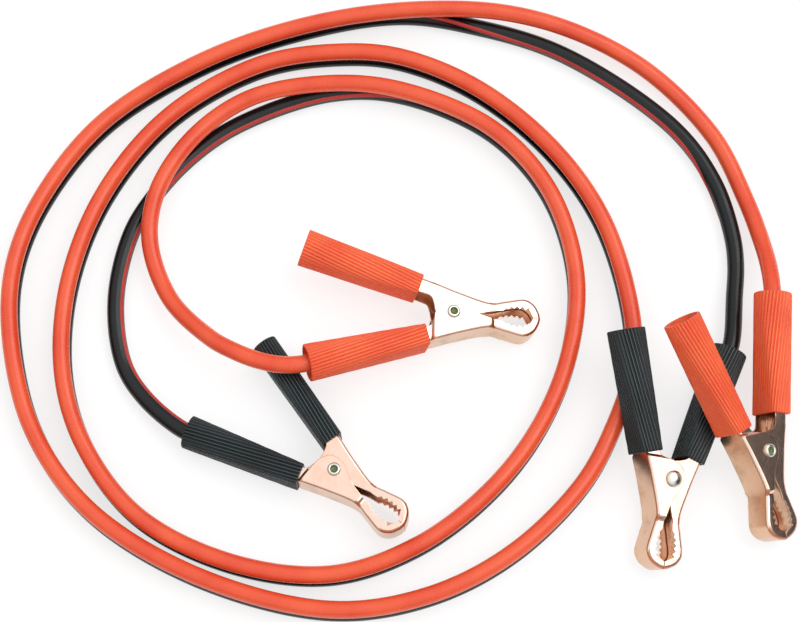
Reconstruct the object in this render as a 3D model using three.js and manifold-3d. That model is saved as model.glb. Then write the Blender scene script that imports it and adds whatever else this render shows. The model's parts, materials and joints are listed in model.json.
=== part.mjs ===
// Car jumper cable: two insulated leads bonded one above the other, laid in loose turns on the floor,
// and split into singles at both ends, each single ending in a spring clamp with ribbed sleeves.
// Millimetres, +Z up. Each clamp is built round its rivet: +X to the nose, +Z along the rivet.
import * as THREE from 'three';
import { mergeVertices } from 'three/addons/utils/BufferGeometryUtils.js';
import Module from 'manifold-3d';

const wasm = await Module();
wasm.setup();

// Fits
const GAP = 0.3;
const SEAM = 0.3;

// Leads
const LEAD_DIAMETER = 10;
const LEAD_SIDES = 8;
const END_STRAIGHT = 15;

// Clamp sheet metal
const SHEET = 1.2;
const NOSE_HALF_DEPTH = 9.15;
const NOSE_REACH = 51;
const NOSE_WALL = 4.3;
const NOSE_HALF_WIDTH = 11.3;
const WAIST_X = 21;
const WAIST_HALF_WIDTH = 7.8;
const EAR_HEIGHT = 6.6;
const THROAT_X = -10.3;
const JOGGLE_X = 24.5;
const JOGGLE_LENGTH = 3;
const REAR_JOGGLE_LENGTH = 2;

// Mouth
const MOUTH_START = 14.4;
const MOUTH_HALF_WIDTH = 6.5;
const MOUTH_END_HALF_WIDTH = 2.6;
const MOUTH_BULGE = 0.67;
const KNEE_X = 23.3;
const TEETH_START = 29;
const TEETH_END_INSET = 1.4;
const TOOTH_DEPTH = 1.7;
const TEETH_PER_JAW = 5;

// Handle arms
const ARM_ANGLE = THREE.MathUtils.degToRad(16.4);
const ARM_START = new THREE.Vector2(-18, 15);
const ARM_HEIGHT = 8.6;
const ARM_TAPER = 2.2;
const STRAIGHT_BACK = 7.5;
const SHOULDER = 22;
const FREE_ARM_LENGTH = 64;
const CABLE_ARM_LENGTH = 48;
const FERRULE_DIAMETER = 8;
const FERRULE_LENGTH = 10;
const FERRULE_OVERLAP = 4;

// Sleeves
const SLEEVE_LENGTH = 70.5;
const SLEEVE_WALL = 1.5;
const SLEEVE_CLEARANCE = 0.45;
const SLEEVE_END_DIAMETER = 22;
const SLEEVE_CORNER = 2.5;
const CORNER_STEPS = 4;
const SLEEVE_STATIONS = 3;

// Rivet and spring
const RIVET_RADIUS = 2.3;
const DOME_RADIUS = 4.85;
const DOME_HEIGHT = 2.4;
const SWAGE_RADIUS = 3.85;
const SWAGE_HEIGHT = 1.3;
const SWAGE_ROLL = 0.5;
const SWAGE_BORE = 1.9;
const SWAGE_BORE_DEPTH = 0.9;
const RIVET_SEGMENTS = 16;
const WIRE_DIAMETER = 1.8;
const COIL_RADIUS = 4.1;
const COIL_TURNS = 2.5;
const COIL_STEPS_PER_TURN = 10;
const SPRING_LEG_REACH = 24;

const PIVOT_HALF_DEPTH = NOSE_HALF_DEPTH + GAP + SHEET;

const RED = new THREE.Color(0.8, 0.13, 0.05);
const BLACK = new THREE.Color(0.02, 0.024, 0.026);
const COPPER = new THREE.Color(0.78, 0.5, 0.38);

// Each clamp as it lies: where its rivet is, the way its nose points, its pitch (tail up) and its
// roll (its +Y side up), in degrees. cableSide is the side of the handle that the lead enters.
// A slide is how far a sleeve is pushed up its arm, towards the rivet.
const CLAMPS = [
  {
    name: 'centre_red', red: true, x: 29.3, y: -8.2, heading: -2, pitch: 8.4, roll: -2, cableSide: -1,
    cableJaw: 'outer', domeUp: false, freeEndWidth: 22, cableEndWidth: 22, freeSlide: -1.4, cableSlide: 3.7,
  },
  {
    name: 'left_black', red: false, x: -37, y: -99.9, heading: -38.9, pitch: -1.5, roll: 0, cableSide: -1,
    cableJaw: 'outer', domeUp: false, freeEndWidth: 15, cableEndWidth: 19, freeSlide: 6, cableSlide: 4.5,
  },
  {
    name: 'right_black', red: false, x: 150, y: -104.4, heading: -96.4, pitch: 5.9, roll: -23, cableSide: 1,
    cableJaw: 'inner', domeUp: true, freeEndWidth: 22, cableEndWidth: 22, freeSlide: 4.5, cableSlide: 6,
  },
  {
    name: 'right_red', red: true, x: 202.5, y: -89.6, heading: -78, pitch: 13, roll: -29, cableSide: 1,
    cableJaw: 'inner', domeUp: false, freeEndWidth: 22, cableEndWidth: 22, freeSlide: 4, cableSlide: -1,
  },
];

// The bonded run, from the outer split to the inner one: the red conductor rides on the black one.
const TWIN_ROUTE = [
  [0, 182.5], [-60, 172], [-120, 149], [-176, 111], [-210, 64], [-224, 25], [-225, -16],
  [-210, -74], [-176, -121], [-114, -159], [-39, -178], [16, -170], [63, -146], [103, -107],
  [122, -73], [133, -40], [134, -8], [119, 50], [90, 95], [46, 133], [0, 153], [-36, 156],
  [-83, 148], [-136, 116], [-173, 68], [-192, 14], [-194, -39], [-181, -82], [-149, -124],
  [-96, -151], [-39, -158], [9, -142], [51, -110], [80, -72], [98, -27], [102, 20], [87, 70],
  [54, 108], [0, 132],
];
const LOW = LEAD_DIAMETER / 2;
const HIGH = LOW + LEAD_DIAMETER + GAP;
const RED_OUTER = [
  [213.8, 18, 20.5], [211.3, 38, 11.5], [203, 68, 5.5], [186, 106, 5], [149, 146, 7], [106, 170, 11],
  [60, 182, 14],
];
const RED_INNER = [
  [-42, 136, HIGH], [-88, 127, HIGH], [-121, 103, HIGH], [-142, 69, HIGH], [-146, 39.5, 12],
  [-133.7, 4.3, 13], [-108.8, -22.8, 24], [-96.8, -30.8, 28.3], [-82.8, -36.8, 29], [-67.8, -40.3, 30],
];
const BLACK_OUTER = [
  [194.5, 6, 7.5], [196.3, 26, 5.3], [195, 44, LOW], [185, 78, LOW], [162, 112, LOW], [98, 158, LOW],
  [45, 176, LOW],
];
const BLACK_INNER = [
  [-42, 133, LOW], [-95, 114, LOW], [-123, 94, LOW], [-144, 70, LOW], [-158, 45, LOW],
  [-165.5, 5, LOW], [-160, -33, LOW], [-147, -54, 7.5],
];

// Where the middle of the laid-out leads stands in the object's frame.
const LAY_CENTRE = new THREE.Vector2(-50.042, 57.791);

function toSolid(geometry) {
  const bare = geometry.clone();
  bare.deleteAttribute('normal');
  bare.deleteAttribute('uv');
  const merged = mergeVertices(bare, 1e-4);
  return new wasm.Manifold(new wasm.Mesh({
    numProp: 3,
    vertProperties: new Float32Array(merged.attributes.position.array),
    triVerts: new Uint32Array(merged.index.array),
  }));
}

function toGeometry(solid) {
  const mesh = solid.getMesh();
  const geometry = new THREE.BufferGeometry();
  geometry.setAttribute('position', new THREE.BufferAttribute(new Float32Array(mesh.vertProperties), 3));
  geometry.setIndex(new THREE.BufferAttribute(new Uint32Array(mesh.triVerts), 1));
  geometry.computeVertexNormals();
  return geometry;
}

/** A flat outline made into a block of the given depth, centred on z = 0. */
function block(points, depth) {
  const geometry = new THREE.ExtrudeGeometry(new THREE.Shape(points), { depth, bevelEnabled: false });
  return toSolid(geometry.translate(0, 0, -depth / 2));
}

/** The same for an outline in the XZ plane, spread along y. */
function blockAlongY(points, width) {
  const geometry = new THREE.ExtrudeGeometry(new THREE.Shape(points), { depth: width, bevelEnabled: false });
  geometry.translate(0, 0, -width / 2).rotateX(Math.PI / 2);
  return toSolid(geometry);
}

function pin(radius, depth, segments = RIVET_SEGMENTS) {
  return toSolid(new THREE.CylinderGeometry(radius, radius, depth, segments).rotateX(Math.PI / 2));
}

/** An open line moved to its right-hand side by a distance. */
function offsetLine(points, distance) {
  return points.map((point, i) => {
    const before = points[Math.max(i - 1, 0)];
    const after = points[Math.min(i + 1, points.length - 1)];
    const along = after.clone().sub(before).normalize();
    return new THREE.Vector2(point.x + along.y * distance, point.y - along.x * distance);
  });
}

/** A point on the arm: distance along it from the sleeve's mouth, and across it, away from the other arm. */
function armPoint(along, across) {
  return new THREE.Vector2(
    ARM_START.x - along * Math.cos(ARM_ANGLE) + across * Math.sin(ARM_ANGLE),
    ARM_START.y + along * Math.sin(ARM_ANGLE) + across * Math.cos(ARM_ANGLE),
  );
}

/** The jaw's back edge, from the front of the nose round the waist and the shoulder to the arm's end. */
function backEdge(armLength) {
  const nose = new THREE.SplineCurve([
    new THREE.Vector2(NOSE_REACH, SEAM / 2),
    new THREE.Vector2(NOSE_REACH - 1, 0.34 * NOSE_HALF_WIDTH),
    new THREE.Vector2(NOSE_REACH - 4, 0.76 * NOSE_HALF_WIDTH),
    new THREE.Vector2(NOSE_REACH - 10, NOSE_HALF_WIDTH),
    new THREE.Vector2(NOSE_REACH - 20.5, 0.82 * NOSE_HALF_WIDTH),
    new THREE.Vector2(WAIST_X, WAIST_HALF_WIDTH),
    armPoint(-SHOULDER, ARM_HEIGHT / 2 - SHEET / 2),
    armPoint(-STRAIGHT_BACK, ARM_HEIGHT / 2),
  ]);
  return [...nose.getPoints(14), armPoint(armLength, ARM_HEIGHT / 2)];
}

/** The toothed edge of the mouth, from its rear point to the front of the nose. */
function mouthEdge() {
  const teethEnd = NOSE_REACH - NOSE_WALL - TEETH_END_INSET;
  const pitch = (teethEnd - TEETH_START) / TEETH_PER_JAW;
  const points = [new THREE.Vector2(MOUTH_START, SEAM / 2), new THREE.Vector2(KNEE_X, MOUTH_END_HALF_WIDTH)];
  for (let i = 0; i < TEETH_PER_JAW; i += 1) {
    const x = TEETH_START + i * pitch;
    const swing = THREE.MathUtils.lerp(-MOUTH_BULGE, MOUTH_BULGE, i / TEETH_PER_JAW);
    const root = MOUTH_HALF_WIDTH * Math.sqrt(1 - swing * swing);
    points.push(new THREE.Vector2(x, root - TOOTH_DEPTH), new THREE.Vector2(x + pitch / 2, root));
  }
  points.push(new THREE.Vector2(teethEnd, MOUTH_END_HALF_WIDTH));
  points.push(new THREE.Vector2(NOSE_REACH - NOSE_WALL, SEAM / 2));
  return points;
}

/** The plate's edge on the inside of the handle, from the arm's end round the throat and the ear. */
function innerEdge(armLength) {
  const ear = new THREE.SplineCurve([
    armPoint(-2, -ARM_HEIGHT / 2),
    armPoint(-STRAIGHT_BACK + 1, -ARM_HEIGHT / 2 - 0.4),
    new THREE.Vector2(THROAT_X - 1, 0.68 * EAR_HEIGHT),
    new THREE.Vector2(THROAT_X, 0),
    new THREE.Vector2(0.67 * THROAT_X, -0.8 * EAR_HEIGHT),
    new THREE.Vector2(0, -EAR_HEIGHT),
    new THREE.Vector2(0.43 * MOUTH_START, -0.65 * EAR_HEIGHT),
    new THREE.Vector2(0.8 * MOUTH_START, -0.15 * EAR_HEIGHT),
  ]);
  return [armPoint(armLength, -ARM_HEIGHT / 2), ...ear.getPoints(14)];
}

/** Half the channel's depth along the jaw: the outer jaw is wider where it wraps the inner one. */
function depthLine(isOuter, inset) {
  const narrow = NOSE_HALF_DEPTH - inset;
  const wide = (isOuter ? PIVOT_HALF_DEPTH : NOSE_HALF_DEPTH) - inset;
  const half = [
    [NOSE_REACH + 1, narrow], [JOGGLE_X, narrow], [JOGGLE_X - JOGGLE_LENGTH, wide],
    [THROAT_X - GAP, wide], [THROAT_X - GAP - REAR_JOGGLE_LENGTH, narrow], [ARM_START.x, narrow],
    [ARM_START.x - SLEEVE_LENGTH, narrow - ARM_TAPER],
  ];
  return [
    ...half.map(([x, z]) => new THREE.Vector2(x, z)),
    ...half.reverse().map(([x, z]) => new THREE.Vector2(x, -z)),
  ];
}

/** One jaw with its arm, on the +Y side: two side plates and the spine that joins them. */
function jawSolid(isOuter, armLength, hasFerrule) {
  const fullDepth = 2 * PIVOT_HALF_DEPTH;
  const reach = FREE_ARM_LENGTH + NOSE_REACH;
  const back = backEdge(armLength);
  const outline = [...back, ...innerEdge(armLength), ...mouthEdge()];
  const envelope = blockAlongY(depthLine(isOuter, 0), reach);
  const core = blockAlongY(depthLine(isOuter, SHEET), reach);
  const spineInside = offsetLine(back, -SHEET);
  spineInside[0].set(NOSE_REACH - SHEET, SEAM / 2);
  const spineOutline = [...back, ...spineInside.reverse()];
  const plates = block(outline, fullDepth).subtract(core);
  const spine = block(spineOutline, fullDepth);
  const hole = pin((RIVET_RADIUS + GAP) / Math.cos(Math.PI / RIVET_SEGMENTS), fullDepth + 2 * GAP);
  let jaw = plates.add(spine).intersect(envelope).subtract(hole);
  if (hasFerrule) {
    const centre = armPoint(armLength + FERRULE_LENGTH / 2 - FERRULE_OVERLAP, 0);
    const radius = FERRULE_DIAMETER / 2;
    const ferrule = new THREE.CylinderGeometry(radius, radius, FERRULE_LENGTH, 12);
    ferrule.rotateZ(Math.PI / 2 - ARM_ANGLE).translate(centre.x, centre.y, 0);
    jaw = jaw.add(toSolid(ferrule));
  }
  return jaw;
}

/** A rounded rectangle across the arm, as rings of points at each station along it. */
function sleeveSkin(inset, overrun, endWidth, slide) {
  const mouth = {
    across: ARM_HEIGHT / 2 + SLEEVE_CLEARANCE + SLEEVE_WALL - inset,
    deep: NOSE_HALF_DEPTH + SLEEVE_CLEARANCE + SLEEVE_WALL - inset,
    corner: SLEEVE_CORNER - inset,
  };
  const round = Math.min(endWidth, SLEEVE_END_DIAMETER) / 2 - inset;
  const end = { across: endWidth / 2 - inset, deep: SLEEVE_END_DIAMETER / 2 - inset, corner: round };
  const positions = [];
  const ringSize = 4 * (CORNER_STEPS + 1);
  for (let station = 0; station <= SLEEVE_STATIONS; station += 1) {
    const share = station / SLEEVE_STATIONS;
    const across = THREE.MathUtils.lerp(mouth.across, end.across, share);
    const deep = THREE.MathUtils.lerp(mouth.deep, end.deep, share);
    const corner = THREE.MathUtils.lerp(mouth.corner, end.corner, share);
    const along = share * (SLEEVE_LENGTH + 2 * overrun) - overrun - slide;
    for (let quarter = 0; quarter < 4; quarter += 1) {
      const signAcross = quarter === 0 || quarter === 3 ? 1 : -1;
      const signDeep = quarter < 2 ? 1 : -1;
      for (let i = 0; i <= CORNER_STEPS; i += 1) {
        const angle = (quarter + i / CORNER_STEPS) * Math.PI / 2;
        const point = armPoint(along, signAcross * (across - corner) + corner * Math.cos(angle));
        positions.push(point.x, point.y, signDeep * (deep - corner) + corner * Math.sin(angle));
      }
    }
  }
  const indices = [];
  for (let station = 0; station < SLEEVE_STATIONS; station += 1) {
    for (let i = 0; i < ringSize; i += 1) {
      const a = station * ringSize + i;
      const b = station * ringSize + (i + 1) % ringSize;
      indices.push(a, a + ringSize, b, b, a + ringSize, b + ringSize);
    }
  }
  const last = SLEEVE_STATIONS * ringSize;
  for (let i = 1; i < ringSize - 1; i += 1) {
    indices.push(0, i, i + 1, last, last + i + 1, last + i);
  }
  const geometry = new THREE.BufferGeometry();
  geometry.setAttribute('position', new THREE.Float32BufferAttribute(positions, 3));
  geometry.setIndex(indices);
  return toSolid(geometry);
}

function sleeveSolid(endWidth, slide) {
  return sleeveSkin(0, 0, endWidth, slide).subtract(sleeveSkin(SLEEVE_WALL, GAP, endWidth, slide));
}

/** The rivet: a domed head at one end and a swaged, hollow one at the other. */
function rivetSolid(domeUp) {
  const seat = PIVOT_HALF_DEPTH + GAP;
  const profile = [new THREE.Vector2(0, -seat - SWAGE_HEIGHT + SWAGE_BORE_DEPTH)];
  profile.push(new THREE.Vector2(SWAGE_BORE, -seat - SWAGE_HEIGHT + SWAGE_BORE_DEPTH));
  profile.push(new THREE.Vector2(SWAGE_BORE, -seat - SWAGE_HEIGHT));
  profile.push(new THREE.Vector2(SWAGE_RADIUS - SWAGE_ROLL, -seat - SWAGE_HEIGHT));
  profile.push(new THREE.Vector2(SWAGE_RADIUS, -seat));
  profile.push(new THREE.Vector2(RIVET_RADIUS, -seat), new THREE.Vector2(RIVET_RADIUS, seat));
  const dome = new THREE.EllipseCurve(0, seat, DOME_RADIUS, DOME_HEIGHT, 0, Math.PI / 2);
  profile.push(...dome.getPoints(4));
  profile[profile.length - 1].x = 0;
  const geometry = new THREE.LatheGeometry(profile, RIVET_SEGMENTS).rotateX(Math.PI / 2);
  return toSolid(domeUp ? geometry : geometry.rotateX(Math.PI));
}

/** The torsion spring: a coil round the rivet, with one leg behind each arm's spine. */
function springGeometry() {
  const legRest = ARM_HEIGHT / 2 - SHEET - GAP - WIRE_DIAMETER / 2;
  const tip = armPoint(SPRING_LEG_REACH + ARM_START.x, legRest);
  const pitch = WIRE_DIAMETER + 2 * GAP;
  const height = COIL_TURNS * pitch;
  const points = [new THREE.Vector3(tip.x, tip.y, height / 2)];
  const steps = COIL_TURNS * COIL_STEPS_PER_TURN;
  for (let i = 0; i <= steps; i += 1) {
    const angle = Math.PI / 2 - (i / steps) * COIL_TURNS * 2 * Math.PI;
    const z = height / 2 - (i / steps) * height;
    points.push(new THREE.Vector3(COIL_RADIUS * Math.cos(angle), COIL_RADIUS * Math.sin(angle), z));
  }
  points.push(new THREE.Vector3(tip.x, -tip.y, -height / 2));
  return tube(points, WIRE_DIAMETER, 6);
}

/** A curve whose rings sit on the route's own points, so that they are closest where it bends. */
class RouteCurve extends THREE.CatmullRomCurve3 {
  getPointAt(u, target) {
    return this.getPoint(u, target);
  }

  getTangentAt(u, target) {
    return this.getTangent(u, target);
  }
}

function tube(points, diameter, sides) {
  const section = [];
  for (let i = 0; i < sides; i += 1) {
    const angle = (i + 0.5) * 2 * Math.PI / sides;
    section.push(new THREE.Vector2(diameter / 2 * Math.cos(angle), diameter / 2 * Math.sin(angle)));
  }
  return new THREE.ExtrudeGeometry(new THREE.Shape(section), {
    steps: points.length - 1,
    extrudePath: new RouteCurve(points, false, 'centripetal'),
    bevelEnabled: false,
  });
}

const object = new THREE.Group();
const laid = new THREE.Group();
laid.position.set(LAY_CENTRE.x, LAY_CENTRE.y, 0);
object.add(laid);

function addMesh(parent, name, geometry, color, roughness, metalness) {
  const mesh = new THREE.Mesh(geometry, new THREE.MeshStandardMaterial({ color, roughness, metalness }));
  mesh.name = name;
  parent.add(mesh);
  return mesh;
}

/** A clamp in its own group, turned as it lies and set down so that its lowest point is on the floor. */
function addClamp(clamp) {
  const group = new THREE.Group();
  const toRadians = THREE.MathUtils.degToRad;
  group.rotation.set(toRadians(clamp.roll), toRadians(clamp.pitch), toRadians(clamp.heading), 'ZYX');
  const sleeveColor = clamp.red ? RED : BLACK;
  const pieces = [
    { part: 'cable', side: clamp.cableSide, isOuter: clamp.cableJaw === 'outer', armLength: CABLE_ARM_LENGTH,
      endWidth: clamp.cableEndWidth, slide: clamp.cableSlide },
    { part: 'free', side: -clamp.cableSide, isOuter: clamp.cableJaw !== 'outer', armLength: FREE_ARM_LENGTH,
      endWidth: clamp.freeEndWidth, slide: clamp.freeSlide },
  ];
  for (const piece of pieces) {
    const jaw = jawSolid(piece.isOuter, piece.armLength, piece.part === 'cable');
    const sleeve = sleeveSolid(piece.endWidth, piece.slide);
    const mirror = (solid) => (piece.side > 0 ? solid : solid.mirror([0, 1, 0]));
    addMesh(group, `${clamp.name}_${piece.part}_jaw`, toGeometry(mirror(jaw)), COPPER, 0.3, 1);
    addMesh(group, `${clamp.name}_${piece.part}_sleeve`, toGeometry(mirror(sleeve)), sleeveColor, 0.5, 0);
  }
  addMesh(group, `${clamp.name}_rivet`, toGeometry(rivetSolid(clamp.domeUp)), COPPER, 0.3, 1);
  addMesh(group, `${clamp.name}_spring`, springGeometry(), COPPER, 0.35, 1);
  group.updateMatrixWorld(true);
  const lowest = new THREE.Box3().setFromObject(group, true).min.z;
  group.position.set(clamp.x, clamp.y, -lowest);
  laid.add(group);
  return group;
}

/** Two points of a lead's end: where it meets the ferrule, and a little further out of the sleeve. */
function leadEnd(clamp, group) {
  const faceAlong = CABLE_ARM_LENGTH + FERRULE_LENGTH - FERRULE_OVERLAP + GAP;
  group.updateMatrix();
  return [faceAlong, faceAlong + END_STRAIGHT].map((along) => {
    const point = armPoint(along, 0);
    return new THREE.Vector3(point.x, clamp.cableSide * point.y, 0).applyMatrix4(group.matrix);
  });
}

const ends = {};
for (const clamp of CLAMPS) {
  ends[clamp.name] = leadEnd(clamp, addClamp(clamp));
}

function leadRoute(start, outer, level, inner, end) {
  const middle = TWIN_ROUTE.map(([x, y]) => [x, y, level]);
  const laidPoints = [...outer, ...middle, ...inner].map((point) => new THREE.Vector3(...point));
  return [...start, ...laidPoints, ...end.slice().reverse()];
}

const redRoute = leadRoute(ends.right_red, RED_OUTER, HIGH, RED_INNER, ends.centre_red);
const blackRoute = leadRoute(ends.right_black, BLACK_OUTER, LOW, BLACK_INNER, ends.left_black);
addMesh(laid, 'red_lead', tube(redRoute, LEAD_DIAMETER, LEAD_SIDES), RED, 0.45, 0);
addMesh(laid, 'black_lead', tube(blackRoute, LEAD_DIAMETER, LEAD_SIDES), BLACK, 0.45, 0);

export default object;
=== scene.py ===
"""Looks of the car jumper cable: bonded red and black leads, and four copper-plated clamps in ribbed sleeves.

Shapes are worked out in millimetres, as in the part's source, and scaled to metres when a mesh is made.
A clamp's own frame has its origin on the rivet, +X to the nose and +Z along the rivet.
"""

import json
import math

import bmesh
import bpy
import numpy as np
from mathutils import Euler, Matrix, Vector


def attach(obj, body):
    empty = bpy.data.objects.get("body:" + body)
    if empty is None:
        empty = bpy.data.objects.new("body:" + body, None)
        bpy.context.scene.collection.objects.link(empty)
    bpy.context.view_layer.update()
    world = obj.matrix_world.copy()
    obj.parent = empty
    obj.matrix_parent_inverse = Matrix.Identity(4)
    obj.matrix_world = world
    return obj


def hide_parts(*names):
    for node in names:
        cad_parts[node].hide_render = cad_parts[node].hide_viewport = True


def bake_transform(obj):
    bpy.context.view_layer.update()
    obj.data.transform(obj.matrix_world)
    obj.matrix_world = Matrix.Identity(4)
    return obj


MM = 0.001
ROOT = "leads_and_fixed_jaws"

# Fits and leads
GAP = 0.3
SEAM = 0.3
LEAD_DIAMETER = 10.0
LEAD_STEP = 3.0
LEAD_SIDES = 28
ROUTE_STEPS_PER_SPAN = 40
END_STRAIGHT = 15.0

# Clamp sheet metal
SHEET = 1.2
BEND_RADIUS = 2.0
BEND_STEPS = 6
CUT_EDGE_ROUNDING = 0.3
CUT_EDGE_ANGLE = 0.9
CREASE_ANGLE = 0.8
SMALL_JAW_FACE = 0.4 * MM**2
BACK_STEPS_PER_SPAN = 9
EAR_STEPS_PER_SPAN = 7
NOSE_HALF_DEPTH = 9.15
NOSE_REACH = 51.0
NOSE_WALL = 4.3
NOSE_HALF_WIDTH = 11.3
WAIST_X = 21.0
WAIST_HALF_WIDTH = 7.8
EAR_HEIGHT = 6.6
THROAT_X = -10.3
JOGGLE_X = 24.5
JOGGLE_LENGTH = 3.0
REAR_JOGGLE_LENGTH = 2.0
PIVOT_HALF_DEPTH = NOSE_HALF_DEPTH + GAP + SHEET

# Mouth
MOUTH_START = 14.4
MOUTH_HALF_WIDTH = 6.5
MOUTH_END_HALF_WIDTH = 2.6
MOUTH_BULGE = 0.67
KNEE_X = 23.3
TEETH_START = 29.0
TEETH_END_INSET = 1.4
TOOTH_DEPTH = 1.7
TEETH_PER_JAW = 5

# Handle arms
ARM_ANGLE = math.radians(16.4)
ARM_START = (-18.0, 15.0)
ARM_HEIGHT = 8.6
ARM_TAPER = 2.2
STRAIGHT_BACK = 7.5
SHOULDER = 22.0
FREE_ARM_LENGTH = 64.0
CABLE_ARM_LENGTH = 48.0
FERRULE_LENGTH = 10.0
FERRULE_OVERLAP = 4.0

# Sleeves
SLEEVE_LENGTH = 70.5
SLEEVE_WALL = 1.5
SLEEVE_CLEARANCE = 0.45
SLEEVE_END_DIAMETER = 22.0
SLEEVE_CORNER = 2.5
RIBS = 32
RIB_DEPTH = 0.8
RIB_ROUNDNESS = 0.6
RIB_SAMPLES = 8
SLEEVE_STATIONS = 24
SLEEVE_BORE_STATIONS = 10
SLEEVE_LIP = [(0.0, 0.55), (0.12, 0.25), (0.4, 0.05)]

# Rivet and spring
RIVET_RADIUS = 2.3
DOME_RADIUS = 4.85
DOME_HEIGHT = 2.4
SWAGE_RADIUS = 3.85
SWAGE_HEIGHT = 1.3
SWAGE_BORE = 1.9
BORE_DEPTH = 0.15
WIRE_DIAMETER = 1.8
COIL_RADIUS = 4.1
COIL_TURNS = 2.5
COIL_STATIONS = 71
SPRING_LEG_REACH = 24.0
SPRING_LEG_STATIONS = 12
WIRE_SIDES = 12

# Each clamp as it lies: the way its nose points, its pitch and its roll in degrees.
# cable_side is the side of the handle that the lead enters, an end is the width of a sleeve's far end,
# and a slide moves a sleeve up its arm.
CLAMPS = [
    dict(
        name="centre_red", red=True, heading=-2.0, pitch=8.4, roll=-2.0,
        cable_side=-1, cable_is_outer=True, dome_up=False,
        free_end=22.0, cable_end=22.0, free_slide=-1.4, cable_slide=3.7,
    ),
    dict(
        name="left_black", red=False, heading=-38.9, pitch=-1.5, roll=0.0,
        cable_side=-1, cable_is_outer=True, dome_up=False,
        free_end=15.0, cable_end=19.0, free_slide=6.0, cable_slide=4.5,
    ),
    dict(
        name="right_black", red=False, heading=-96.4, pitch=5.9, roll=-23.0,
        cable_side=1, cable_is_outer=False, dome_up=True,
        free_end=22.0, cable_end=22.0, free_slide=4.5, cable_slide=6.0,
    ),
    dict(
        name="right_red", red=True, heading=-78.0, pitch=13.0, roll=-29.0,
        cable_side=1, cable_is_outer=False, dome_up=False,
        free_end=22.0, cable_end=22.0, free_slide=4.0, cable_slide=-1.0,
    ),
]

# Lead routes on the floor, from the middle of the laid-out leads
LAY_CENTRE = (-50.042, 57.791)
LOW = LEAD_DIAMETER / 2
HIGH = LOW + LEAD_DIAMETER + GAP
TWIN_ROUTE = [
    (0, 182.5), (-60, 172), (-120, 149), (-176, 111), (-210, 64), (-224, 25), (-225, -16),
    (-210, -74), (-176, -121), (-114, -159), (-39, -178), (16, -170), (63, -146), (103, -107),
    (122, -73), (133, -40), (134, -8), (119, 50), (90, 95), (46, 133), (0, 153), (-36, 156),
    (-83, 148), (-136, 116), (-173, 68), (-192, 14), (-194, -39), (-181, -82), (-149, -124),
    (-96, -151), (-39, -158), (9, -142), (51, -110), (80, -72), (98, -27), (102, 20), (87, 70),
    (54, 108), (0, 132),
]
RED_OUTER = [
    (213.8, 18, 20.5), (211.3, 38, 11.5), (203, 68, 5.5), (186, 106, 5), (149, 146, 7), (106, 170, 11),
    (60, 182, 14),
]
RED_INNER = [
    (-42, 136, HIGH), (-88, 127, HIGH), (-121, 103, HIGH), (-142, 69, HIGH), (-146, 39.5, 12),
    (-133.7, 4.3, 13), (-108.8, -22.8, 24), (-96.8, -30.8, 28.3), (-82.8, -36.8, 29), (-67.8, -40.3, 30),
]
BLACK_OUTER = [
    (194.5, 6, 7.5), (196.3, 26, 5.3), (195, 44, LOW), (185, 78, LOW), (162, 112, LOW), (98, 158, LOW),
    (45, 176, LOW),
]
BLACK_INNER = [
    (-42, 133, LOW), (-95, 114, LOW), (-123, 94, LOW), (-144, 70, LOW), (-158, 45, LOW),
    (-165.5, 5, LOW), (-160, -33, LOW), (-147, -54, 7.5),
]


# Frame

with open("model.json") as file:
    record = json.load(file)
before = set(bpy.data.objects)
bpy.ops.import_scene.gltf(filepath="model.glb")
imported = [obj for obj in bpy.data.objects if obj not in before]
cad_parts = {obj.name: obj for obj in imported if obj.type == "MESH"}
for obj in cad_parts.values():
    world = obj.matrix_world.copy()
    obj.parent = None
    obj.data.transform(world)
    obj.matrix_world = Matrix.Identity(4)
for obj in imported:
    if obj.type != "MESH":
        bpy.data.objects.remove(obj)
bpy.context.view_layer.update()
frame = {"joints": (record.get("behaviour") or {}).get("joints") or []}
joints = {joint["name"]: joint for joint in frame["joints"]}


def clamp_matrix(clamp):
    """The clamp's own frame in the row frame: its rivet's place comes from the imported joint."""
    turn = Euler([math.radians(clamp[a]) for a in ("roll", "pitch", "heading")], "XYZ")
    place = Matrix.Translation(joints[clamp["name"] + "_squeeze"]["pos_m"])
    return place @ turn.to_matrix().to_4x4()


# Curves

def catmull_rom(points, per_span):
    """An even Catmull-Rom line through 2-D points, with per_span steps between each two."""
    p = np.array(points, float)
    p = np.vstack([p[:1], p, p[-1:]])
    line = []
    for i in range(1, len(p) - 2):
        for t in np.arange(per_span) / per_span:
            a, b = (p[i + 1] - p[i - 1]) / 2, (p[i + 2] - p[i]) / 2
            line.append(
                (2 * p[i] - 2 * p[i + 1] + a + b) * t**3
                + (-3 * p[i] + 3 * p[i + 1] - 2 * a - b) * t**2 + a * t + p[i]
            )
    return np.array(line + [p[-2]])


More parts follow.
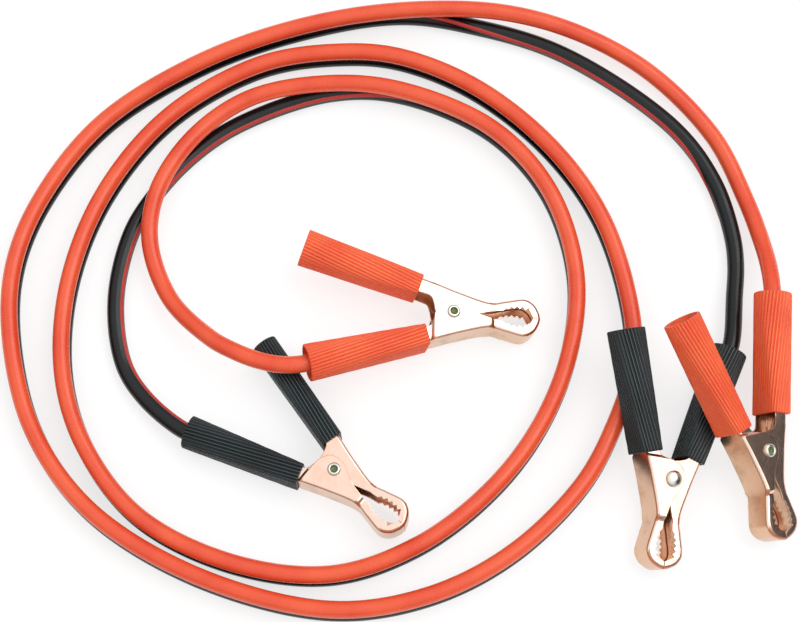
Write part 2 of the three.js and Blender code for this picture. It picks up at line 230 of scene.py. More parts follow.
def centripetal_route(points, step):
    """A centripetal Catmull-Rom line through 3-D points, resampled to even steps."""
    p = np.array(points, float)
    p = np.vstack([2 * p[0] - p[1], p, 2 * p[-1] - p[-2]])
    dense = []
    for i in range(1, len(p) - 2):
        knots = [0.0]
        for a, b in zip(p[i - 1:i + 2], p[i:i + 3]):
            knots.append(knots[-1] + np.linalg.norm(b - a) ** 0.5)
        t0, t1, t2, t3 = knots
        for t in np.linspace(t1, t2, ROUTE_STEPS_PER_SPAN, endpoint=False):
            a1 = p[i - 1] * (t1 - t) / (t1 - t0) + p[i] * (t - t0) / (t1 - t0)
            a2 = p[i] * (t2 - t) / (t2 - t1) + p[i + 1] * (t - t1) / (t2 - t1)
            a3 = p[i + 1] * (t3 - t) / (t3 - t2) + p[i + 2] * (t - t2) / (t3 - t2)
            b1 = a1 * (t2 - t) / (t2 - t0) + a2 * (t - t0) / (t2 - t0)
            b2 = a2 * (t3 - t) / (t3 - t1) + a3 * (t - t1) / (t3 - t1)
            dense.append(b1 * (t2 - t) / (t2 - t1) + b2 * (t - t1) / (t2 - t1))
    dense = np.array(dense + [p[-2]])
    along = np.concatenate([[0], np.cumsum(np.linalg.norm(np.diff(dense, axis=0), axis=1))])
    even = np.linspace(0, along[-1], int(round(along[-1] / step)) + 1)
    return np.column_stack([np.interp(even, along, dense[:, k]) for k in range(3)])


def arm_point(along, across):
    """A point on the arm: distance from the sleeve's mouth, and across it, away from the other arm."""
    c, s = math.cos(ARM_ANGLE), math.sin(ARM_ANGLE)
    return (ARM_START[0] - along * c + across * s, ARM_START[1] + along * s + across * c)


def smoothstep(low, high, x):
    t = np.clip((np.asarray(x, float) - low) / (high - low), 0, 1)
    return t * t * (3 - 2 * t)


# Meshes

def settle(obj, matrix):
    """Bakes a clamp's place into the mesh, and keeps the clamp's own coordinates for the materials."""
    mesh = obj.data
    places = np.empty(3 * len(mesh.vertices), np.float32)
    mesh.vertices.foreach_get("co", places)
    mesh.attributes.new("local", "FLOAT_VECTOR", "POINT").data.foreach_set("vector", places)
    mesh.transform(matrix)
    mesh.update()
    return obj


def new_object(name, vertices, faces, matrix=Matrix.Identity(4)):
    """An object from vertices in millimetres, placed by a matrix in metres."""
    mesh = bpy.data.meshes.new(name)
    mesh.from_pydata((np.array(vertices, float) * MM).tolist(), [], faces)
    mesh.polygons.foreach_set("use_smooth", [True] * len(mesh.polygons))
    obj = bpy.data.objects.new(name, mesh)
    bpy.context.scene.collection.objects.link(obj)
    return settle(obj, matrix)


def dress(obj, material, slot, body, *nodes):
    """Gives a piece its material and its body, and hides the CAD nodes that it stands for; slot is not used.
    """
    for m in material if isinstance(material, list) else [material]:
        obj.data.materials.append(m)
    if body:
        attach(obj, body)
    if nodes:
        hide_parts(*nodes)
    return obj


def orient(obj):
    """Turns every face outwards."""
    bm = bmesh.new()
    bm.from_mesh(obj.data)
    bmesh.ops.recalc_face_normals(bm, faces=bm.faces)
    bm.to_mesh(obj.data)
    bm.free()
    return obj


# Clamp jaws

def back_edge(arm_length):
    """The jaw's back edge, from the front of the nose round the waist and the shoulder to the arm's end."""
    nose = catmull_rom([
        (NOSE_REACH, SEAM / 2), (NOSE_REACH - 1, 0.34 * NOSE_HALF_WIDTH),
        (NOSE_REACH - 4, 0.76 * NOSE_HALF_WIDTH), (NOSE_REACH - 10, NOSE_HALF_WIDTH),
        (NOSE_REACH - 20.5, 0.82 * NOSE_HALF_WIDTH), (WAIST_X, WAIST_HALF_WIDTH),
        arm_point(-SHOULDER, ARM_HEIGHT / 2 - SHEET / 2), arm_point(-STRAIGHT_BACK, ARM_HEIGHT / 2),
    ], BACK_STEPS_PER_SPAN)
    return np.vstack([nose, arm_point(0, ARM_HEIGHT / 2), arm_point(arm_length, ARM_HEIGHT / 2)])


def mouth_edge():
    """The toothed edge of the mouth, from its rear point to the front of the nose."""
    teeth_end = NOSE_REACH - NOSE_WALL - TEETH_END_INSET
    pitch = (teeth_end - TEETH_START) / TEETH_PER_JAW
    points = [(MOUTH_START, SEAM / 2), (KNEE_X, MOUTH_END_HALF_WIDTH)]
    for i in range(TEETH_PER_JAW):
        swing = MOUTH_BULGE * (2 * i / TEETH_PER_JAW - 1)
        root = MOUTH_HALF_WIDTH * math.sqrt(1 - swing * swing)
        x = TEETH_START + i * pitch
        points += [(x, root - TOOTH_DEPTH), (x + pitch / 2, root)]
    return points + [(teeth_end, MOUTH_END_HALF_WIDTH), (NOSE_REACH - NOSE_WALL, SEAM / 2)]


def inner_edge(arm_length):
    """The plate's edge on the inside of the handle, from the arm's end round the throat and the ear."""
    ear = catmull_rom([
        arm_point(-2, -ARM_HEIGHT / 2), arm_point(-STRAIGHT_BACK + 1, -ARM_HEIGHT / 2 - 0.4),
        (THROAT_X - 1, 0.68 * EAR_HEIGHT), (THROAT_X, 0), (0.67 * THROAT_X, -0.8 * EAR_HEIGHT),
        (0, -EAR_HEIGHT), (0.43 * MOUTH_START, -0.65 * EAR_HEIGHT), (0.8 * MOUTH_START, -0.15 * EAR_HEIGHT),
    ], EAR_STEPS_PER_SPAN)
    return [arm_point(arm_length, -ARM_HEIGHT / 2), *ear]


def half_depth(x, is_outer):
    """Half the channel's depth along the jaw: the outer jaw is wider where it wraps the inner one."""
    x = np.asarray(x, float)
    taper = ARM_TAPER * np.clip((ARM_START[0] - x) / SLEEVE_LENGTH, 0, 1)
    step = PIVOT_HALF_DEPTH - NOSE_HALF_DEPTH if is_outer else 0.0
    front = 1 - smoothstep(JOGGLE_X - JOGGLE_LENGTH, JOGGLE_X, x)
    rear = smoothstep(THROAT_X - GAP - REAR_JOGGLE_LENGTH, THROAT_X - GAP, x)
    return NOSE_HALF_DEPTH + step * front * rear - taper


def channel_section(radius):
    """Offsets inward and depths across the channel, from one plate round the spine to the other."""
    angles = np.linspace(math.pi / 2, 0, BEND_STEPS + 1)
    middle = PIVOT_HALF_DEPTH - BEND_RADIUS
    half = [(BEND_RADIUS - radius * math.cos(a), middle + radius * math.sin(a)) for a in angles]
    return [(n, -z) for n, z in half] + [(n, z) for n, z in reversed(half)]


def add_spine(bm, back):
    """The spine and its bends along the back edge: rows of vertices of its outer and its inner skin."""
    tangent = np.gradient(back, axis=0)
    tangent /= np.linalg.norm(tangent, axis=1)[:, None]
    inward = np.column_stack([-tangent[:, 1], tangent[:, 0]])
    inward[0] = (-1, 0)
    outer, inner = (
        [[bm.verts.new((*(b + n * offset), z)) for offset, z in channel_section(radius)]
         for b, n in zip(back, inward)]
        for radius in (BEND_RADIUS, BEND_RADIUS - SHEET)
    )
    last = len(outer[0]) - 1
    for i in range(len(back) - 1):
        for k in range(last):
            bm.faces.new((outer[i][k], outer[i][k + 1], outer[i + 1][k + 1], outer[i + 1][k]))
            bm.faces.new((inner[i][k], inner[i + 1][k], inner[i + 1][k + 1], inner[i][k + 1]))
    for i in (0, len(back) - 1):
        for k in range(last):
            bm.faces.new((outer[i][k], inner[i][k], inner[i][k + 1], outer[i][k + 1]))
    return outer, inner


def add_plates(bm, outer, inner, cut):
    """Both side plates, from the spine's bends to the cut edge, with the sheet's thickness as their rim."""
    for k, z in ((0, -PIVOT_HALF_DEPTH), (len(outer[0]) - 1, PIVOT_HALF_DEPTH)):
        sheet = math.copysign(SHEET, z)
        faces = [[bm.verts.new((*p, z)) for p in cut], [bm.verts.new((*p, z - sheet)) for p in cut]]
        bm.faces.new([row[k] for row in outer] + faces[0])
        bm.faces.new([row[k] for row in inner] + faces[1])
        rims = [[outer[-1][k], *faces[0], outer[0][k]], [inner[-1][k], *faces[1], inner[0][k]]]
        for j in range(len(rims[0]) - 1):
            bm.faces.new((rims[0][j], rims[1][j], rims[1][j + 1], rims[0][j + 1]))
    bmesh.ops.recalc_face_normals(bm, faces=bm.faces)


def round_cut_edges(bm):
    """Rounds the sharp edges that run along the plates."""
    rim = [
        e for e in bm.edges
        if len(e.link_faces) == 2 and e.calc_face_angle() > CUT_EDGE_ANGLE
        and abs(e.verts[0].co.z - e.verts[1].co.z) < 0.01
    ]
    bmesh.ops.bevel(
        bm, geom=rim, offset=CUT_EDGE_ROUNDING, segments=2, profile=0.6, affect="EDGES", clamp_overlap=False
    )


def joggle(bm, is_outer, side):
    """Cuts the plates across where their depth changes, then brings them to their depth and their side."""
    rear = THROAT_X - GAP
    cuts = [*np.linspace(JOGGLE_X - JOGGLE_LENGTH, JOGGLE_X, 7)]
    cuts += [*np.linspace(rear - REAR_JOGGLE_LENGTH, rear, 6), ARM_START[0]]
    for x in cuts:
        bmesh.ops.bisect_plane(
            bm, geom=[*bm.verts, *bm.edges, *bm.faces], dist=1e-4, plane_co=(x, 0, 0), plane_no=(1, 0, 0)
        )
    for v in bm.verts:
        below = PIVOT_HALF_DEPTH - abs(v.co.z)
        v.co.z = math.copysign(half_depth(v.co.x, is_outer) - below, v.co.z)
        v.co.y *= side


def copper_of(polygon):
    """A jaw face's material: 0 for a plate or a bend, 1 for the spine, in a darker copper that is painted
    shade, and 2 for a rounded cut edge.
    """
    flatness = abs(polygon.normal.z)
    if polygon.area < SMALL_JAW_FACE:
        return 2 if 0.1 < flatness < 0.97 else 0
    return 1 if flatness < 0.5 else 0


def jaw_object(name, is_outer, arm_length, side, matrix):
    """One jaw with its arm: two side plates and the spine that joins them, with rounded bends."""
    bm = bmesh.new()
    outer, inner = add_spine(bm, back_edge(arm_length))
    add_plates(bm, outer, inner, inner_edge(arm_length) + mouth_edge())
    round_cut_edges(bm)
    joggle(bm, is_outer, side)
    bmesh.ops.triangulate(bm, faces=[f for f in bm.faces if len(f.verts) > 4])
    bmesh.ops.recalc_face_normals(bm, faces=bm.faces)
    for e in bm.edges:
        e.smooth = len(e.link_faces) == 2 and e.calc_face_angle() < CREASE_ANGLE
    bmesh.ops.scale(bm, vec=(MM, MM, MM), verts=bm.verts)
    mesh = bpy.data.meshes.new(name)
    bm.to_mesh(mesh)
    bm.free()
    mesh.polygons.foreach_set("use_smooth", [True] * len(mesh.polygons))
    for polygon in mesh.polygons:
        polygon.material_index = copper_of(polygon)
    obj = bpy.data.objects.new(name, mesh)
    bpy.context.scene.collection.objects.link(obj)
    weighted = obj.modifiers.new("flat plates", "WEIGHTED_NORMAL")
    weighted.keep_sharp = True
    weighted.weight = 100
    return settle(obj, matrix)


# Sleeves

def rounded_rectangle(half_across, half_deep, corner, count):
    """count points evenly spaced round a rounded rectangle, and their outward normals."""
    quarter = np.linspace(0, math.pi / 2, 25)
    line, normal = [], []
    for k, (sx, sy) in enumerate(((1, 1), (-1, 1), (-1, -1), (1, -1))):
        angles = quarter + k * math.pi / 2
        n = np.column_stack([np.cos(angles), np.sin(angles)])
        line.append(n * corner + (sx * (half_across - corner), sy * (half_deep - corner)))
        normal.append(n)
    line, normal = np.vstack(line), np.vstack(normal)
    line, normal = np.vstack([line, line[:1]]), np.vstack([normal, normal[:1]])
    along = np.concatenate([[0], np.cumsum(np.linalg.norm(np.diff(line, axis=0), axis=1))])
    even = np.arange(count) / count * along[-1]
    return tuple(np.column_stack([np.interp(even, along, a[:, k]) for k in range(2)]) for a in (line, normal))


def sleeve_object(name, end_width, slide, side, matrix):
    """A ribbed sleeve on an arm: a flat oblong at the clamp, nearly round at the far end."""
    count = RIBS * RIB_SAMPLES
    phase = np.arange(count) / RIB_SAMPLES * 2 * math.pi
    groove = RIB_DEPTH * (1 - np.abs(np.cos(phase / 2)) ** RIB_ROUNDNESS)
    around = SLEEVE_CLEARANCE + SLEEVE_WALL
    mouth = (ARM_HEIGHT / 2 + around, NOSE_HALF_DEPTH + around, SLEEVE_CORNER)
    end = (end_width / 2, SLEEVE_END_DIAMETER / 2, min(end_width, SLEEVE_END_DIAMETER) / 2)
    outside = [*SLEEVE_LIP, *[(a, 0.0) for a in np.linspace(1.0, SLEEVE_LENGTH - 1.0, SLEEVE_STATIONS)]]
    outside += [(SLEEVE_LENGTH - a, drop) for a, drop in reversed(SLEEVE_LIP)]
    rings = [(a, drop, True) for a, drop in outside]
    rings += [(a, SLEEVE_WALL, False) for a in np.linspace(SLEEVE_LENGTH, 0, SLEEVE_BORE_STATIONS)]
    vertices = []
    for along, drop, ribbed in rings:
        share = along / SLEEVE_LENGTH
        across, deep, corner = (m + (e - m) * share for m, e in zip(mouth, end))
        line, normal = rounded_rectangle(across, deep, corner, count)
        sunk = (groove + drop if ribbed else np.full(count, drop))[:, None]
        line = line - normal * sunk
        for a, d in line:
            x, y = arm_point(along - slide, a)
            vertices.append((x, y * side, d))
    faces = []
    for r in range(len(rings)):
        s = (r + 1) % len(rings)
        for i in range(count):
            j = (i + 1) % count
            faces.append((r * count + i, r * count + j, s * count + j, s * count + i))
    obj = new_object(name, vertices, faces, matrix)
    outer_faces = count * (len(outside) - 1)
    for polygon in obj.data.polygons:
        # Faces on the rib crests take the second material: a lighter colour that is a painted highlight along
        # each rib.
        on_crest = polygon.index % RIB_SAMPLES in (0, RIB_SAMPLES - 1)
        polygon.material_index = 1 if on_crest and polygon.index < outer_faces else 0
    return orient(obj)


# Rivets and springs

def lathe_object(name, profile, matrix, segments=48):
    """A closed turned piece from (radius, height) points, the first and last on the axis."""
    vertices, faces = [(0, 0, profile[0][1])], []
    rings = profile[1:-1]
    angles = np.arange(segments) * 2 * math.pi / segments
    for r, z in rings:
        vertices += [(r * math.cos(a), r * math.sin(a), z) for a in angles]
    vertices.append((0, 0, profile[-1][1]))
    top = len(vertices) - 1
    for i in range(segments):
        j = (i + 1) % segments
        faces.append((0, 1 + j, 1 + i))
        for k in range(len(rings) - 1):
            a = 1 + k * segments
            faces.append((a + i, a + j, a + segments + j, a + segments + i))
        a = 1 + (len(rings) - 1) * segments
        faces.append((a + i, a + j, top))
    return orient(new_object(name, vertices, faces, matrix))


def rivet_object(name, dome_up, matrix):
    """The rivet: a domed head at one end and a rolled, hollow one at the other."""
    seat = PIVOT_HALF_DEPTH + GAP
    rolled = [
        (0, seat - BORE_DEPTH), (SWAGE_BORE - 0.25, seat - BORE_DEPTH), (SWAGE_BORE - 0.05, seat + 0.1),
        (SWAGE_BORE, seat + 0.45), (SWAGE_BORE + 0.15, seat + 0.95),
        (SWAGE_BORE + 0.45, seat + SWAGE_HEIGHT - 0.05),
        (SWAGE_BORE + 0.85, seat + SWAGE_HEIGHT), (SWAGE_RADIUS - 0.6, seat + SWAGE_HEIGHT - 0.22),
        (SWAGE_RADIUS - 0.2, seat + 0.7), (SWAGE_RADIUS, seat + 0.3), (SWAGE_RADIUS, seat - 0.05),
        (RIVET_RADIUS, seat - 0.05),
    ]
    angles = np.linspace(0, math.pi / 2, 9)
    cap = [(DOME_RADIUS * math.cos(a), seat + 0.25 + (DOME_HEIGHT - 0.25) * math.sin(a)) for a in angles]
    foot = [(RIVET_RADIUS, seat - 0.05), (DOME_RADIUS - 0.1, seat - 0.05)]
    dome = [*foot, *cap[:-1], (0, seat + DOME_HEIGHT)]
    flip = -1 if dome_up else 1
    profile = [(r, -z) for r, z in reversed(dome)] + [(r, z) for r, z in reversed(rolled)]
    obj = lathe_object(name, [(r, z * flip) for r, z in profile], Matrix.Identity(4))
    for polygon in obj.data.polygons:
        x, y, z = polygon.center / MM
        polygon.material_index = 1 if math.hypot(x, y) < SWAGE_BORE + 0.12 and z * flip > 0 else 0
    obj.data.transform(matrix)
    return obj


def tube(points, radius, sides, roll=None, profile=None):
    """Rings of a tube along points, each ring's first vertex at the top (+Z) turned left by roll radians.

    A profile gives each ring's angles and how far each stands out from the radius.
    """
    p = np.array(points, float)
    tangent = np.gradient(p, axis=0)
    tangent /= np.linalg.norm(tangent, axis=1)[:, None]
    left = np.cross((0, 0, 1), tangent)
    left /= np.linalg.norm(left, axis=1)[:, None]
    up = np.cross(tangent, left)
    angles = np.arange(sides) * 2 * math.pi / sides if profile is None else np.array([a for a, _ in profile])
    raised = np.zeros(len(angles)) if profile is None else np.array([r for _, r in profile])
    roll = np.zeros(len(p)) if roll is None else roll
    vertices = []
    for i in range(len(p)):
        for a, r in zip(angles + roll[i], raised):
            vertices.append(p[i] + (radius + r) * (up[i] * math.cos(a) + left[i] * math.sin(a)))
    return vertices, tube_faces(len(p), len(angles))


def tube_faces(rings, sides):
    """Both end caps and the faces between neighbouring rings."""
    faces = [tuple(range(sides))[::-1], tuple((rings - 1) * sides + i for i in range(sides))]
    for r in range(rings - 1):
        for i in range(sides):
            j = (i + 1) % sides
            faces.append((r * sides + i, r * sides + j, (r + 1) * sides + j, (r + 1) * sides + i))
    return faces


def carried_tube(points, radius, sides):
    """A tube whose rings turn as little as they can from one to the next, for a line that isn't level."""
    p = np.array(points, float)
    tangent = np.gradient(p, axis=0)
    tangent /= np.linalg.norm(tangent, axis=1)[:, None]
    side = np.cross(tangent[0], (0, 0, 1))
    side /= np.linalg.norm(side)
    vertices = []
    for centre, t in zip(p, tangent):
        side = side - t * (side @ t)
        side /= np.linalg.norm(side)
        other = np.cross(t, side)
        for a in np.arange(sides) * 2 * math.pi / sides:
            vertices.append(centre + radius * (side * math.cos(a) + other * math.sin(a)))
    return vertices, tube_faces(len(p), sides)


def spring_object(name, matrix):
    """The torsion spring: a coil round the rivet, with one leg behind each arm's spine."""
    leg_rest = ARM_HEIGHT / 2 - SHEET - GAP - WIRE_DIAMETER / 2
    tip = arm_point(SPRING_LEG_REACH + ARM_START[0], leg_rest)
    height = COIL_TURNS * (WIRE_DIAMETER + 2 * GAP)
    share = np.linspace(0, 1, COIL_STATIONS)
    angle = math.pi / 2 - share * COIL_TURNS * 2 * math.pi
    coil = np.column_stack([COIL_RADIUS * np.cos(angle), COIL_RADIUS * np.sin(angle), height * (0.5 - share)])
    first, second = (
        np.linspace((tip[0], s * tip[1], s * height / 2), coil[0 if s > 0 else -1], SPRING_LEG_STATIONS)
        for s in (1, -1)
    )
    points = np.vstack([first[:-1], coil, second[::-1][1:]])
    return orient(new_object(name, *carried_tube(points, WIRE_DIAMETER / 2, WIRE_SIDES), matrix))


# Materials

def set_range(node, *numbers):
    """Sets a Map Range node: where its value starts and ends, then what that becomes."""
    for socket, number in zip(("From Min", "From Max", "To Min", "To Max"), numbers):
        node.inputs[socket].default_value = number


class Shader:
    """A Principled material and short ways to add procedural nodes to it."""

    def __init__(self, name, color, roughness, metallic=0.0, **sockets):
        self.material = bpy.data.materials.new(name)
        self.material.use_nodes = True
        self.nodes = self.material.node_tree.nodes
        self.links = self.material.node_tree.links
        self.bsdf = self.nodes["Principled BSDF"]
        self.bsdf.inputs["Base Color"].default_value = (*color, 1)
        self.bsdf.inputs["Roughness"].default_value = roughness
        self.bsdf.inputs["Metallic"].default_value = metallic
        for socket, value in sockets.items():
            self.bsdf.inputs[socket.replace("_", " ")].default_value = value
        place = self.nodes.new("ShaderNodeAttribute")
        place.attribute_name = "local"
        self.place = place.outputs["Vector"]

    def noise(self, scale, detail=4.0, stretch=(1, 1, 1), roughness=0.5):
        """Noise in the piece's own space; scale is in features per metre."""
        mapping = self.nodes.new("ShaderNodeMapping")
        mapping.inputs["Scale"].default_value = stretch
        self.links.new(self.place, mapping.inputs["Vector"])
        node = self.nodes.new("ShaderNodeTexNoise")
        node.inputs["Scale"].default_value = scale
        node.inputs["Detail"].default_value = detail
        node.inputs["Roughness"].default_value = roughness
        self.links.new(mapping.outputs["Vector"], node.inputs["Vector"])
        return node.outputs["Fac"]

    def ramp(self, value, stops):
        """Maps a value through colours; stops are (position, colour)."""
        node = self.nodes.new("ShaderNodeValToRGB")
        elements = node.color_ramp.elements
        while len(elements) < len(stops):
            elements.new(0.5)
        for element, (position, color) in zip(elements, stops):
            element.position = position
            element.color = (*color, 1) if hasattr(color, "__len__") else (color, color, color, 1)
        self.links.new(value, node.inputs["Fac"])
        return node.outputs["Color"]

    def spread(self, value, low, high, out_low, out_high):
        node = self.nodes.new("ShaderNodeMapRange")
        set_range(node, low, high, out_low, out_high)
        self.links.new(value, node.inputs["Value"])
        return node.outputs["Result"]

    def feed(self, socket, value):
        self.links.new(value, self.bsdf.inputs[socket])

    def bump(self, *layers):
        """Adds bump layers, each (height, strength, distance in metres)."""
        normal = None
        for height, strength, distance in layers:
            node = self.nodes.new("ShaderNodeBump")
            node.inputs["Strength"].default_value = strength
            node.inputs["Distance"].default_value = distance
            self.links.new(height, node.inputs["Height"])
            if normal:
                self.links.new(normal, node.inputs["Normal"])
            normal = node.outputs["Normal"]
        self.links.new(normal, self.bsdf.inputs["Normal"])


def plastic(name, color, dark, roughness, sheen_scale, **sockets):
    """Moulded PVC: a slow drift of colour, a fine surface grain and soft scuffs in the gloss."""
    s = Shader(name, color, roughness, **sockets)
    s.feed("Base Color", s.ramp(s.noise(35, 3), [(0.3, dark), (0.62, color)]))
    s.feed("Roughness", s.spread(s.noise(sheen_scale, 5), 0.3, 0.7, roughness - 0.07, roughness + 0.09))
    s.bump((s.noise(60, 1), 0.08, 0.0004))
    return s.material


def copper(name, bright, worn, roughness, grain=(1, 9, 9)):
    """Copper-plated pressed steel: drawn grain along the jaw, faint tarnish clouds and pin marks."""
    s = Shader(name, bright, roughness, 1.0)
    clouds = s.noise(70, 6, roughness=0.62)
    s.feed("Base Color", s.ramp(clouds, [(0.34, worn), (0.52, bright)]))
    s.feed("Roughness", s.spread(s.noise(420, 4, grain), 0.3, 0.7, roughness - 0.04, roughness + 0.06))
    s.bump((s.noise(1800, 2, grain), 0.03, 0.00004), (s.noise(60, 1), 0.10, 0.0004))
    return s.material


# Colours are linear
RED = (0.84, 0.102, 0.034)
DEEP_RED = (0.76, 0.066, 0.022)
BLACK = (0.0045, 0.0070, 0.0078)
DEEP_BLACK = (0.0025, 0.0036, 0.0042)
red_lead = plastic("red lead PVC", RED, DEEP_RED, 0.24, 160, Specular_IOR_Level=0.5)
black_lead = plastic("black lead PVC", BLACK, DEEP_BLACK, 0.24, 160, Specular_IOR_Level=0.36)
web_red = plastic("torn web red", (0.50, 0.03, 0.02), (0.36, 0.02, 0.015), 0.55, 400)
# The rib crest materials are lighter than their sleeves: a painted highlight along the top of each rib.
red_rib_painted_highlight = plastic("red rib crest painted highlight", (0.90, 0.19, 0.075), RED, 0.28, 260, Specular_IOR_Level=0.5)
black_rib_painted_highlight = plastic("black rib crest painted highlight", (0.030, 0.058, 0.064), (0.014, 0.028, 0.032), 0.24, 260)
red_sleeve = plastic(
    "red sleeve PVC", (0.86, 0.108, 0.024), (0.80, 0.080, 0.018), 0.36, 260, Specular_IOR_Level=0.40
)
black_sleeve = plastic(
    "black sleeve PVC", (0.0045, 0.009, 0.010), DEEP_BLACK, 0.22, 260, Specular_IOR_Level=0.34
)
copper_plate = copper("copper plate", (0.92, 0.66, 0.54), (0.87, 0.57, 0.44), 0.17)
# The spine's copper is darker than the plates' only as painted shade: the sideways spine faces are the same
# plated sheet.
copper_spine_painted_shade = copper("copper spine with painted shade", (0.72, 0.47, 0.32), (0.56, 0.35, 0.23), 0.22)
copper_edge = copper("copper on the sheared edges", (0.62, 0.28, 0.17), (0.50, 0.20, 0.12), 0.32)
spring_wire = copper("copper-washed wire", (0.6, 0.4, 0.3), (0.42, 0.27, 0.2), 0.32)
rivet_steel = copper("rivet steel", (0.76, 0.74, 0.68), (0.68, 0.65, 0.57), 0.18, (1, 1, 1))
rivet_bore = plastic("chromate in the rivet's bore", (0.16, 0.21, 0.05), (0.07, 0.10, 0.03), 0.3, 300)


# Clamps

def build_clamp(clamp):
    name, matrix, lead_side = clamp["name"], clamp_matrix(clamp), clamp["cable_side"]
    colour = "red" if clamp["red"] else "black"
    # The second sleeve material, on the rib crests, is a painted highlight.
    sleeve_materials = [red_sleeve, red_rib_painted_highlight] if clamp["red"] else [black_sleeve, black_rib_painted_highlight]
    for part, side, arm_length, body in (
        ("cable", lead_side, CABLE_ARM_LENGTH, ROOT), ("free", -lead_side, FREE_ARM_LENGTH, name + "_handle"),
    ):
        is_outer = clamp["cable_is_outer"] == (part == "cable")
        jaw = jaw_object(f"{name}_{part}_jaw_shell", is_outer, arm_length, side, matrix)
        dress(jaw, [copper_plate, copper_spine_painted_shade, copper_edge], "copper_plate", body, f"{name}_{part}_jaw")
        sleeve = sleeve_object(
            f"{name}_{part}_sleeve_ribbed", clamp[part + "_end"], clamp[part + "_slide"], side, matrix
        )
        dress(sleeve, sleeve_materials, colour + "_sleeve", body, f"{name}_{part}_sleeve")
    rivet = rivet_object(name + "_rivet_turned", clamp["dome_up"], matrix)
    dress(rivet, [rivet_steel, rivet_bore], "rivet", ROOT, name + "_rivet")
    spring = spring_object(name + "_spring_wire", matrix)
    dress(spring, spring_wire, "spring", None, name + "_spring")
    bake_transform(spring)


for clamp in CLAMPS:
    build_clamp(clamp)


# Leads

def lead_end(clamp):
    """Two points of a lead's end: where it meets the crimp barrel, and a little further out."""
    face = CABLE_ARM_LENGTH + FERRULE_LENGTH - FERRULE_OVERLAP + GAP
    points = []
    for along in (face, face + END_STRAIGHT):
        x, y = arm_point(along, 0)
        points.append(clamp_matrix(clamp) @ Vector((x * MM, clamp["cable_side"] * y * MM, 0)) / MM)
    return points


ends = {clamp["name"]: lead_end(clamp) for clamp in CLAMPS}


def lead_route(start, outer, level, inner, end):
    """A lead's whole route, from one clamp round the turns to the other; level is its height in the turns."""
    laid = [*outer, *[(x, y, level) for x, y in TWIN_ROUTE], *inner]
    laid = [(x + LAY_CENTRE[0], y + LAY_CENTRE[1], z) for x, y, z in laid]
    return centripetal_route([*start, *laid, *reversed(end)], LEAD_STEP)


def web_profile(half_angle, height):
    """Ring angles from the web round the lead, and how far each stands out."""
    lip = math.radians(3)
    web = [(-half_angle - lip, 0.0), (-half_angle, height), (0.0, height * 1.15), (half_angle, height)]
    web.append((half_angle + lip, 0.0))
    rest = np.linspace(half_angle + lip, 2 * math.pi - half_angle - lip, LEAD_SIDES)[1:-1]
    return [*web, *[(a, 0.0) for a in rest]]


red_points = lead_route(ends["right_red"], RED_OUTER, HIGH, RED_INNER, ends["centre_red"])
black_points = lead_route(ends["right_black"], BLACK_OUTER, LOW, BLACK_INNER, ends["left_black"])

red = new_object("red_lead_insulation", *tube(red_points, LEAD_DIAMETER / 2, LEAD_SIDES))
dress(orient(red), red_lead, "red_lead", ROOT, "red_lead")

# The web that bonds the leads is on top of the black one. Where the leads part, it rolls to the loop's
# inside, and near right_black's sleeve it is turned under. Rolls are in degrees.
OUTER_SINGLE = 300.0
INNER_SINGLE = 340.0
UNDER_ROLL = 170
OUTER_ROLL = 55
INNER_ROLL = 52
WEB_HALF_ANGLE = math.radians(11)
WEB_HEIGHT = 0.3
WEB_POINTS = 5

along = np.arange(len(black_points)) * LEAD_STEP
total = along[-1]
turned = smoothstep(60, 150, along)
roll = np.radians(
    UNDER_ROLL * (1 - turned)
    + OUTER_ROLL * turned * (1 - smoothstep(OUTER_SINGLE - 40, OUTER_SINGLE + 40, along))
    + INNER_ROLL * smoothstep(total - INNER_SINGLE - 60, total - INNER_SINGLE + 40, along)
)
profile = web_profile(WEB_HALF_ANGLE, WEB_HEIGHT)
vertices, faces = tube(black_points, LEAD_DIAMETER / 2, LEAD_SIDES, roll, profile)
black = new_object("black_lead_insulation", vertices, faces)
dress(orient(black), [black_lead, web_red], "black_lead", ROOT, "black_lead")
sides = len(profile)
for polygon in black.data.polygons:
    columns = sorted(v % sides for v in polygon.vertices)
    if len(columns) == 4 and columns[-1] < WEB_POINTS:
        polygon.material_index = 1


# Floor, light and camera

VIEW_TARGET = Vector((LAY_CENTRE[0] * MM, LAY_CENTRE[1] * MM, 0))
VIEW_DISTANCE = 1.5
VIEW_ELEVATION = math.radians(74)
VIEW_WIDTH = math.radians(17.7)

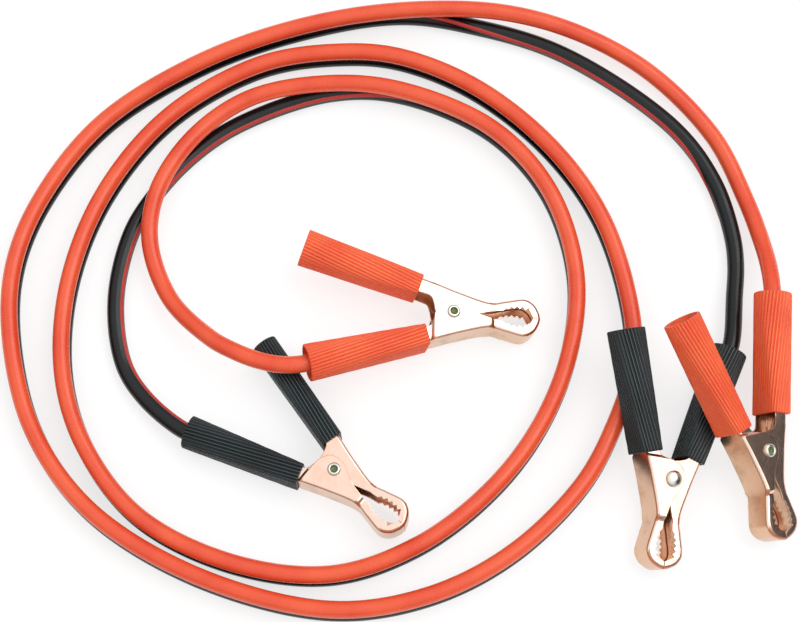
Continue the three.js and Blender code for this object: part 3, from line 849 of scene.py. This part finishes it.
camera = bpy.data.objects.new("camera", bpy.data.cameras.new("camera"))
bpy.context.scene.collection.objects.link(camera)
camera.data.sensor_width = 36
camera.data.sensor_fit = "HORIZONTAL"
camera.data.lens = 18 / math.tan(VIEW_WIDTH / 2)
camera.data.clip_start, camera.data.clip_end = 0.05, 20
back_and_up = Vector((0, -math.cos(VIEW_ELEVATION), math.sin(VIEW_ELEVATION)))
camera.location = VIEW_TARGET + VIEW_DISTANCE * back_and_up
camera.rotation_euler = (math.pi / 2 - VIEW_ELEVATION, 0, 0)
bpy.context.scene.camera = camera

FLOOR_HALF = 4000
FLOOR_LEVEL = -0.2
corners = [(x * FLOOR_HALF, y * FLOOR_HALF, FLOOR_LEVEL) for x, y in ((-1, -1), (1, -1), (1, 1), (-1, 1))]
floor = new_object("floor", corners, [(0, 1, 2, 3)])
paper = Shader("lit white floor", (0.5, 0.5, 0.5), 0.9, Emission_Color=(1, 1, 1, 1), Emission_Strength=0.70)
paper.feed("Base Color", paper.ramp(paper.noise(3, 2), [(0.3, 0.31), (0.7, 0.33)]))
floor.data.materials.append(paper.material)


# Studio: pale all round, dark low down on the right, and a bright panel high on the right

world = bpy.data.worlds.new("studio")
bpy.context.scene.world = world
world.use_nodes = True
sky = world.node_tree
direction = sky.nodes.new("ShaderNodeTexCoord").outputs["Generated"]


def toward(vector, low, high, out_low, out_high):
    """A number that changes smoothly with how nearly the light's direction points along a vector."""
    dot = sky.nodes.new("ShaderNodeVectorMath")
    dot.operation = "DOT_PRODUCT"
    dot.inputs[1].default_value = Vector(vector).normalized()
    sky.links.new(direction, dot.inputs[0])
    step = sky.nodes.new("ShaderNodeMapRange")
    step.interpolation_type = "SMOOTHSTEP"
    set_range(step, low, high, out_low, out_high)
    sky.links.new(dot.outputs["Value"], step.inputs["Value"])
    return step.outputs["Result"]


def combine(operation, a, b):
    node = sky.nodes.new("ShaderNodeMath")
    node.operation = operation
    sky.links.new(a, node.inputs[0])
    sky.links.new(b, node.inputs[1])
    return node.outputs["Value"]


pale = toward((0, 0, 1), 0.0, 0.9, 0.22, 1.12)
dark = toward((0.97, 0, 0.24), 0.72, 0.93, 1.0, 0.12)
panel = toward((0.56, 0.16, 0.81), 0.87, 0.93, 0.0, 1.9)
background = sky.nodes["Background"]
background.inputs["Color"].default_value = (1, 1, 1, 1)
sky.links.new(combine("ADD", combine("MULTIPLY", pale, dark), panel), background.inputs["Strength"])

bpy.context.scene.view_settings.view_transform = "Standard"
